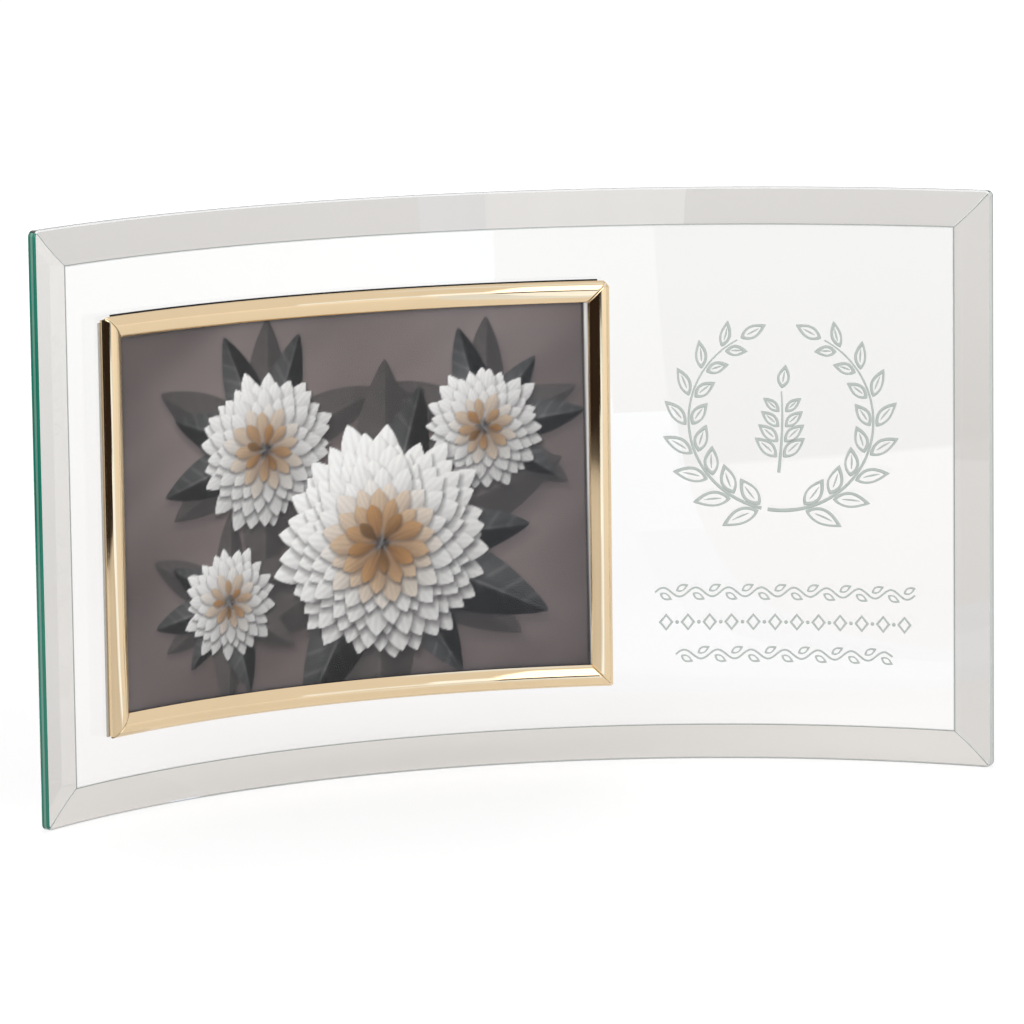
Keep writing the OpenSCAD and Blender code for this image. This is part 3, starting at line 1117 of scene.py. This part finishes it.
# Painted shade: the picture darkens towards the sight edges, where the moulding stands proud.
edge_shade = 0.40 * np.exp(-np.abs(from_sight) / 0.7)
canvas = canvas * (1 - edge_shade[..., None] * np.array([1.0, 0.94, 0.86]))
canvas = canvas * (1 - 0.75 * border_shadow_line[..., None])
canvas = canvas + (border_colour - canvas) * border[..., None]
print("the border is", border_width, "mm wide at the top")

# %% [markdown]
# The colours go onto the mesh as a colour attribute, which a material reads by name. The engraving
# further on takes its colours from its mesh in the same way.

# %% Colours on a mesh
def mesh_coloured(name, attribute, scale, low, high, relief, gloss):
    """A finish that takes its colour from the mesh: grain, roughness from low to high and relief."""
    material, nodes, links = blank_material(name)
    shader = add_node(nodes, "ShaderNodeBsdfPrincipled", Specular_IOR_Level=gloss)
    colour = nodes.new("ShaderNodeAttribute")
    colour.attribute_name = attribute
    grain = patches(nodes, links, scale)
    links.new(colour.outputs["Color"], shader.inputs["Base Color"])
    links.new(spread(nodes, links, grain, low, high), shader.inputs["Roughness"])
    add_relief(nodes, links, grain, shader, relief, 0.1 * MM)
    show(nodes, links, shader.outputs["BSDF"])
    return material


def colour_points(piece, attribute, colours):
    """Gives the first points of a piece their linear colours, and the rest white."""
    values = np.ones((len(piece.data.vertices), 4), np.float32)
    values[: len(colours), :3] = colours
    layer = piece.data.color_attributes.new(attribute, "FLOAT_COLOR", "POINT")
    layer.data.foreach_set("color", values.ravel())


print("pieces can carry their own colours")

# %% [markdown]
# Photo paper is satin: fairly smooth, with a faint pebble in its coating. Its back and its cut edge
# are bare paper.

# %% The print
bare_paper = solid_finish("bare_paper", linear(228, 226, 220), linear(218, 215, 208), 500, 0.7, 0.9)
satin = mesh_coloured("satin_print", "picture", 2500, 0.45, 0.6, relief=0.08, gloss=0.25)
print_finishes = {"front": satin, "border": satin, "rim": bare_paper, "back": bare_paper}
photo_paper = make_sheet(
    "photo_paper", "photo_print", picture_columns, picture_rows, 0, print_finishes, "print"
)
colour_points(photo_paper, "picture", to_light(canvas).reshape(-1, 3))
print("the picture has", across.size, "coloured points")

# %% [markdown]
# ## Engraving
#
# Sandblasted lines in clear glass scatter light and look frosted. The edges of each line get a painted
# shade, strongest on the side that faces lower left, away from the light. The real pattern is about a
# twentieth of a millimetre deep. Here each line is a very thin closed ribbon on the face, because a cut
# that shallow would need millions of faces in the panel. A ribbon is given by its two edges, and both
# follow the bend.

# %% Ribbons on the glass
ribbon_places, ribbon_faces, ribbon_colours = [], [], []
ribbon_low, ribbon_high = 0.012 * MM, 0.05 * MM
# frost is the lines' own frosted colour; frost_shade is the painted shade on their edges.
frost = np.array(linear(206, 213, 208)[:3])
frost_shade = np.array(linear(150, 168, 161)[:3])


def add_ribbon(left, right, closed=False):
    """Adds one frosted line, given by the s and z of its left and right edges."""
    left, right = np.asarray(left, float), np.asarray(right, float)
    start = sum(len(places) for places in ribbon_places)
    heights = [ribbon_low] + [ribbon_high] * 4 + [ribbon_low]
    rows = np.stack([left + share * (right - left) for share in (0, 0, 0.26, 0.74, 1, 1)], axis=1)
    ribbon_places.append(on_bend(rows[..., 0], heights, rows[..., 1]).reshape(-1, 3))
    # Painted shade: each edge row gets frost_shade by how far it faces lower left, away from the light;
    # depth holds that share, and the middle rows get none.
    away = (right - left) / np.linalg.norm(right - left, axis=1, keepdims=True)
    turned = away @ np.array([-0.55, -0.83])
    sides = np.stack([-turned, -turned, 0 * turned, 0 * turned, turned, turned], axis=1)
    depth = np.clip(0.25 + 0.9 * sides, 0, 1)
    depth[:, 2:4] = 0
    ribbon_colours.append((frost + (frost_shade - frost) * depth[..., None]).reshape(-1, 3))
    count = len(left)
    for i in range(count if closed else count - 1):
        here, after = start + 6 * i, start + 6 * ((i + 1) % count)
        ribbon_faces.extend(
            [here + j, after + j, after + (j + 1) % 6, here + (j + 1) % 6] for j in range(6)
        )
    if not closed:
        ribbon_faces.append([start + j for j in range(6)])
        ribbon_faces.append([start + 6 * (count - 1) + j for j in range(6)][::-1])


def add_stroke(points, widths):
    """Adds an open line along points, with a width at each of them."""
    points = np.asarray(points, float)
    ahead = np.gradient(points, axis=0)
    ahead /= np.linalg.norm(ahead, axis=1, keepdims=True)
    beside = np.stack([-ahead[:, 1], ahead[:, 0]], axis=1) * np.asarray(widths)[:, None] / 2
    add_ribbon(points + beside, points - beside)


print("ribbons are", round((ribbon_high - ribbon_low) / MM, 3), "mm thick")

# %% [markdown]
# Two motifs make the whole pattern: an outlined leaf and a tapering stem. The leaf is the space
# between two nested leaf shapes, so its line is even at the sides and heavier at the tip, as a
# cutter's line is.

# %% Leaves and stems
def leaf_outline(root, heading, length, half_width, bend, steps=18):
    """A closed leaf shape that starts at its root and bends to one side."""
    share = np.concatenate([np.linspace(0, 1, steps), np.linspace(1, 0, steps)[1:-1]])
    side = np.concatenate([np.ones(steps), -np.ones(steps - 2)])
    out = side * half_width * np.sin(math.pi * share**0.85) ** 0.9 + bend * length * share * (1 - share)
    along = length * share
    turn = np.array([[math.cos(heading), math.sin(heading)], [-math.sin(heading), math.cos(heading)]])
    return np.asarray(root) + np.stack([along, out], axis=1) @ turn


def add_leaf(root, heading, length, half_width, line, bend=0.0, rib=True):
    """An outlined leaf with a short middle rib."""
    ahead = np.array([math.cos(heading), math.sin(heading)])
    outer = leaf_outline(root, heading, length, half_width, bend)
    inner = leaf_outline(
        np.asarray(root) + 1.7 * line * ahead, heading, length - 3.9 * line, half_width - line, bend
    )
    add_ribbon(inner, outer, closed=True)
    if rib:
        share = np.linspace(0.25, 0.72, 9)
        side = np.array([-ahead[1], ahead[0]])
        arch_out = bend * length * share * (1 - share)
        points = np.asarray(root) + (length * share)[:, None] * ahead + arch_out[:, None] * side
        add_stroke(points, line * 0.75 * np.sin(math.pi * np.linspace(0.12, 0.92, 9)))


print("a leaf outline has", len(leaf_outline((0, 0), 0, 1, 1, 0)), "points")

# %% [markdown]
# The wreath has two branches that rise from a crossing at the bottom and lean towards each other at
# the top. The left one passes under the right one, so its first points are left out. Leaves sit on
# the branches in pairs and grow shorter towards the tips.

# %% The wreath
wreath_centre = np.array([100.4, 113.5]) * MM
wreath_radius = np.array([30.5, 30.0]) * MM
wreath_line = 1.0 * MM
leaf_pairs = 8
hidden_points = 8


def wreath_place(angle):
    """A place on the wreath's ring; the angle runs from straight down."""
    return wreath_centre + wreath_radius * np.array([math.sin(angle), -math.cos(angle)])


def add_branch(side):
    """One branch of the wreath, on the right with side 1 or on the left with side -1."""
    start, end = math.radians(-9), math.radians(152)
    share = np.linspace(0, 1, 60)
    points = np.array([wreath_place(side * angle) for angle in start + (end - start) * share])
    widths = wreath_line * (1.25 - 0.75 * share)
    first = 0 if side > 0 else hidden_points
    add_stroke(points[first:], widths[first:])
    for k in range(leaf_pairs):
        angle = start + (end - start) * (0.13 + 0.113 * k)
        size = 1 - 0.045 * k
        place = wreath_place(side * angle)
        forward = angle if side > 0 else math.pi - angle
        for lean, reach in ((-0.62, 13.2), (0.72, 11.0)):
            direction = forward + side * lean
            gap = 1.5 * MM * np.array([math.cos(direction), math.sin(direction)])
            add_leaf(
                place + gap, direction, reach * size * MM, 2.75 * size * MM, wreath_line * 0.85,
                bend=side * (0.16 if lean < 0 else -0.16),
            )
    tip = wreath_place(side * end)
    forward = end if side > 0 else math.pi - end
    gap = 1.2 * MM * np.array([math.cos(forward), math.sin(forward)])
    add_leaf(tip + gap, forward, 9.5 * MM, 2.2 * MM, wreath_line * 0.8)


for side in (1, -1):
    add_branch(side)
print("the wreath has", len(ribbon_places), "lines")

# %% [markdown]
# Inside the wreath stands a small sprig, drawn with the same leaf and stroke.

# %% The sprig
def add_sprig(foot, height, pairs):
    """An upright sprig with pairs of leaves and one at its tip."""
    share = np.linspace(0, 1, 24)
    sway = 1.3 * MM * np.sin(2.2 * share)
    points = foot + np.stack([sway, height * share], axis=1)
    add_stroke(points, wreath_line * (1.1 - 0.6 * share))
    for k in range(pairs):
        at = 0.16 + 0.74 * k / pairs
        place = foot + np.array([1.3 * MM * math.sin(2.2 * at), height * at])
        size = 1 - 0.09 * k
        for side in (1, -1):
            direction = math.pi / 2 - side * 0.85
            gap = 1.3 * MM * np.array([math.cos(direction), math.sin(direction)])
            length, half_width = 9.8 * size * MM, 2.3 * size * MM
            add_leaf(place + gap, direction, length, half_width, wreath_line * 0.8, bend=side * 0.12)
    tip = points[-1] + np.array([0.1, 1.0]) * MM
    add_leaf(tip, math.radians(80), 8 * MM, 2.1 * MM, wreath_line * 0.8)


add_sprig(wreath_centre + np.array([-1.0, -17.5]) * MM, 27 * MM, 4)
print("with the sprig there are", len(ribbon_places), "lines")

# %% [markdown]
# Below the wreath run three narrow rows of ornament: a leaf vine, a row of lozenges and dots, and a
# shorter vine. Rows like these are common on presentation glass.

# %% The three rows
def add_vine(from_s, to_s, z, waves):
    """A stem that winds along a row, with a leaf in each of its hollows."""
    s = np.linspace(from_s, to_s, 14 * waves)
    swing = 1.5 * MM
    phase = math.pi * waves * (s - from_s) / (to_s - from_s)
    add_stroke(np.stack([s, z + swing * np.sin(phase)], axis=1), np.full(len(s), 0.62 * MM))
    step = (to_s - from_s) / waves
    for k in range(waves):
        up_or_down = 1 if k % 2 else -1
        place = np.array([from_s + (k + 0.30) * step, z + up_or_down * 0.35 * MM])
        direction = up_or_down * math.radians(28)
        add_leaf(place, direction, 4.6 * MM, 1.15 * MM, 0.5 * MM, bend=0.1 * up_or_down, rib=False)


def add_lozenge(centre, half_width, half_height, line):
    """A lozenge, drawn as the space between two nested ones."""
    shape = np.array([(1, 0), (0, 1), (-1, 0), (0, -1)])
    outer = centre + shape * np.array([half_width, half_height])
    inner = centre + shape * np.array([half_width - 1.5 * line, half_height - 1.5 * line])
    add_ribbon(inner, outer, closed=True)


def add_dot(centre, radius):
    """A round dot, drawn as two half discs that meet along a line."""
    turn = np.linspace(0.06, math.pi - 0.06, 14)
    upper = centre + radius * np.stack([np.cos(turn), np.sin(turn)], axis=1)
    lower = centre + radius * np.stack([np.cos(turn), -np.sin(turn)], axis=1)
    add_ribbon(lower, upper)


def add_lozenge_row(from_s, to_s, z, units):
    """Lozenges with a dot between each two."""
    step = (to_s - from_s) / units
    for k in range(units):
        centre = np.array([from_s + (k + 0.5) * step, z])
        add_lozenge(centre, 0.34 * step, 2.9 * MM, 0.62 * MM)
        if k < units - 1:
            add_dot(centre + np.array([0.5 * step, 0]), 0.62 * MM)


rows_left, rows_right = 58.3 * MM, 144.7 * MM
add_vine(rows_left, rows_right, 56.3 * MM, 16)
add_lozenge_row(rows_left, rows_right, 46.3 * MM, 12)
add_vine(65 * MM, 137 * MM, 35.5 * MM, 13)
print("the whole pattern has", len(ribbon_places), "lines")

# %% [markdown]
# All lines become one piece. The pits of the blasting show as a fine grain and a rough surface.

# %% The engraving
frosted = mesh_coloured("frosted_line", "frost", 3500, 0.6, 0.85, relief=0.25, gloss=0.2)
engraving = make_piece(
    "engraving", np.concatenate(ribbon_places), ribbon_faces, [frosted], "frame"
)
colour_points(engraving, "frost", np.concatenate(ribbon_colours))

# %% [markdown]
# ## Floor, world and lamps
#
# The frame stands on white in an even light. A floor that is lit only by lamps never comes out
# pure white without also bleaching the object. So for the camera, and for what metal and glass show,
# the floor adds some light of its own, and its Diffuse part still keeps the object's shadow.

# %% The floor
def seen_ray(nodes, links):
    """A socket that is 1 for camera, glossy and transmission rays."""
    ray = nodes.new("ShaderNodeLightPath")
    total = ray.outputs["Is Camera Ray"]
    for kind in ("Is Glossy Ray", "Is Transmission Ray"):
        larger = nodes.new("ShaderNodeMath")
        larger.operation = "MAXIMUM"
        links.new(total, larger.inputs[0])
        links.new(ray.outputs[kind], larger.inputs[1])
        total = larger.outputs["Value"]
    return total


def white_floor():
    """A white floor that keeps shadows."""
    material, nodes, links = blank_material("white_floor")
    paper = add_node(nodes, "ShaderNodeBsdfDiffuse", Color=(0.55, 0.55, 0.55, 1))
    glow = add_node(nodes, "ShaderNodeEmission", Color=(1, 1, 1, 1))
    place = nodes.new("ShaderNodeTexCoord")
    distance = nodes.new("ShaderNodeVectorMath")
    distance.operation = "LENGTH"
    level = add_node(
        nodes, "ShaderNodeMapRange", From_Min=0.4, From_Max=1.8, To_Min=0.52, To_Max=0.78
    )
    strength = nodes.new("ShaderNodeMath")
    strength.operation = "MULTIPLY"
    total = nodes.new("ShaderNodeAddShader")
    links.new(place.outputs["Object"], distance.inputs[0])
    links.new(distance.outputs["Value"], level.inputs["Value"])
    links.new(level.outputs["Result"], strength.inputs[1])
    links.new(seen_ray(nodes, links), strength.inputs[0])
    links.new(strength.outputs["Value"], glow.inputs["Strength"])
    links.new(paper.outputs["BSDF"], total.inputs[0])
    links.new(glow.outputs["Emission"], total.inputs[1])
    show(nodes, links, total.outputs["Shader"])
    return material


def make_stage(name, places, faces, material):
    """A piece of the studio, which isn't part of the object."""
    mesh = bpy.data.meshes.new(name)
    mesh.from_pydata(np.asarray(places).reshape(-1, 3).tolist(), [], faces)
    mesh.materials.append(material)
    mesh.update()
    thing = bpy.data.objects.new(name, mesh)
    bpy.context.scene.collection.objects.link(thing)
    thing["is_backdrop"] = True
    return thing


floor_reach = 9.0
floor_corners = floor_reach * np.array([(-1, -1, 0), (1, -1, 0), (1, 1, 0), (-1, 1, 0)])
make_stage("studio_floor", floor_corners, [[0, 1, 2, 3]], white_floor())
print("the floor is", 2 * floor_reach, "m wide")

# %% [markdown]
# The world works like the floor: white where it is seen, and a plain level where it lights. The
# view transform has to be Standard, or Blender's film-like default greys the white background.

# %% The world
world = bpy.data.worlds.new("studio")
world.use_nodes = True
bpy.context.scene.world = world
world_nodes, world_links = world.node_tree.nodes, world.node_tree.links
world_nodes.clear()
sky = add_node(world_nodes, "ShaderNodeBackground", Color=(1, 1, 1, 1))
sky_level = add_node(world_nodes, "ShaderNodeMapRange", To_Min=0.5, To_Max=1.0)
sky_output = world_nodes.new("ShaderNodeOutputWorld")
world_links.new(seen_ray(world_nodes, world_links), sky_level.inputs["Value"])
world_links.new(sky_level.outputs["Result"], sky.inputs["Strength"])
world_links.new(sky.outputs["Background"], sky_output.inputs["Surface"])
bpy.context.scene.view_settings.view_transform = "Standard"
print("view transform:", bpy.context.scene.view_settings.view_transform)

# %% [markdown]
# Four large area lamps give the soft light. They are hidden from glossy rays, because polished gold
# would otherwise show bright squares.

# %% Lamps
def add_lamp(name, azimuth, elevation, distance, size, watts):
    """A soft square lamp that shines at the object from a direction around it."""
    data = bpy.data.lights.new(name, "AREA")
    data.shape = "SQUARE"
    data.size = size
    data.energy = watts
    lamp = bpy.data.objects.new(name, data)
    bpy.context.scene.collection.objects.link(lamp)
    turn, rise = math.radians(azimuth), math.radians(elevation)
    away = Vector((
        math.sin(turn) * math.cos(rise), -math.cos(turn) * math.cos(rise), math.sin(rise)
    ))
    lamp.location = aim_point + distance * away
    lamp.rotation_euler = away.to_track_quat("Z", "Y").to_euler()
    lamp.visible_glossy = False
    lamp.visible_transmission = False
    return lamp


lamps = [
    add_lamp("key_lamp", -40, 35, 1.8, 1.1, 9.5),
    add_lamp("fill_lamp", 35, 25, 1.8, 1.1, 6.5),
    add_lamp("top_lamp", 0, 80, 1.6, 1.2, 4),
    add_lamp("back_lamp", 165, 40, 2.0, 1.2, 8),
]
print("lamps:", sum(lamp.data.energy for lamp in lamps), "watts in all")

# %% [markdown]
# ## Reflection cards
#
# A photographer shapes polished metal with cards that only the metal sees: black ones give it dark
# bands, and white ones its highlights. Each card here is part of a ring round the object, made
# invisible to every ray but the glossy ones, so it changes nothing in the lighting. The left stile
# sees the room to its left through the glass, so the dark card there is left visible to rays that
# pass through glass, and its material hides it from those that no metal has reflected.

# %% Reflection cards
plain_white = (1, 1, 1, 1)
cool_white = (0.71, 0.82, 1.0, 1)
warm_black = (1.0, 0.68, 0.54, 1)
dark_level = 0.035
card_lift = 2 * MM
card_steps = 40


def card_glow(name, colour, strength):
    """A glow in one colour, a little patchy as cloth is, for rays that something has reflected."""
    material, nodes, links = blank_material(name)
    glow = add_node(nodes, "ShaderNodeEmission", Color=colour)
    nothing = nodes.new("ShaderNodeBsdfTransparent")
    ray = nodes.new("ShaderNodeLightPath")
    cloth = patches(nodes, links, 4)
    links.new(spread(nodes, links, cloth, 0.93 * strength, 1.07 * strength), glow.inputs["Strength"])
    sockets = ray.outputs["Glossy Depth"], nothing.outputs["BSDF"], glow.outputs["Emission"]
    show(nodes, links, switched(nodes, links, *sockets))
    return material


def add_card(name, azimuths, edges, colour, strength):
    """A card round the object from one azimuth to another; each edge is a radius and a height."""
    turn = np.radians(np.linspace(*azimuths, card_steps + 1))
    rim = np.stack([np.sin(turn), -np.cos(turn), 0 * turn], axis=1)
    places = np.concatenate([radius * rim + np.array([0, 0, height]) for radius, height in edges])
    faces = [[i, i + 1, card_steps + 2 + i, card_steps + 1 + i] for i in range(card_steps)]
    card = make_stage(name, places, faces, card_glow(name + "_glow", colour, strength))
    for ray_kind in ("camera", "diffuse", "transmission", "volume_scatter", "shadow"):
        setattr(card, "visible_" + ray_kind, False)
    return card


def add_floor_card(name, azimuths, near, far, colour, strength):
    """A flat card just above the floor, between two distances."""
    return add_card(name, azimuths, ((near, card_lift), (far, card_lift)), colour, strength)


def add_upright_card(name, azimuths, elevations, distance, colour, strength):
    """An upright card, between two angles of elevation seen from the middle of the object."""
    heights = [aim_point.z + distance * math.tan(math.radians(angle)) for angle in elevations]
    return add_card(name, azimuths, [(distance, height) for height in heights], colour, strength)


print("a card is bent in", card_steps, "steps")

# %% [markdown]
# The dark cards lie far out and in front, where the steep sides of the moulding look. The bright and
# the white ones lie nearer and higher, where its flatter faces look.

# %% Dark cards
dark_floor_card = add_floor_card("dark_floor_card", (-92, -10), 0.62, 4.0, warm_black, dark_level)
dark_floor_card.visible_transmission = True
add_floor_card("middle_floor_card", (-10, -2), 0.80, 1.15, warm_black, dark_level)
add_floor_card("far_floor_card", (-10, 13), 1.15, 4.0, warm_black, dark_level)
add_upright_card("dark_skirting", (-92, 13), (-2.0, 2.5), 4.0, warm_black, dark_level)
print("dark cards are down")

# %% Bright cards
add_floor_card("grey_floor_card", (-92, -10), 0.1, 0.62, plain_white, 0.85)
add_floor_card("bright_floor_card", (-10, -2), 0.45, 0.80, cool_white, 2.1)
add_floor_card("pale_floor_card", (-10, -2), 0.25, 0.45, cool_white, 1.55)
add_floor_card("near_floor_card", (-10, -2), 0.10, 0.25, cool_white, 1.30)
add_floor_card("left_floor_strip", (-106, -92), 0.1, 4.0, cool_white, 1.9)
add_floor_card("right_floor_strip", (-2, 13), 0.1, 1.15, cool_white, 1.9)
add_floor_card("far_right_strip", (13, 22), 0.1, 4.0, cool_white, 1.45)
add_upright_card("white_softbox", (-15, 14), (2.5, 48), 4.2, plain_white, 2.6)
add_upright_card("softbox_wing", (14, 24), (0.5, 16), 4.2, cool_white, 2.0)
add_upright_card("outer_wing", (24, 44), (0.5, 9), 4.2, cool_white, 1.7)
add_upright_card("side_softbox", (-85, -15), (18, 48), 4.2, plain_white, 2.6)
add_upright_card("high_strip", (-20, 60), (62, 70), 1.2, cool_white, 1.5)
print("bright cards are up")

# %% [markdown]
# ## Sizes and finish
#
# The last lines measure by how much the visual model's box has grown past the CAD model's box.

visual_low, visual_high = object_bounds()
growth = (visual_high - visual_low) - (cad_high - cad_low)
print("grown by", [round(float(size) / MM, 3) for size in growth], "mm")
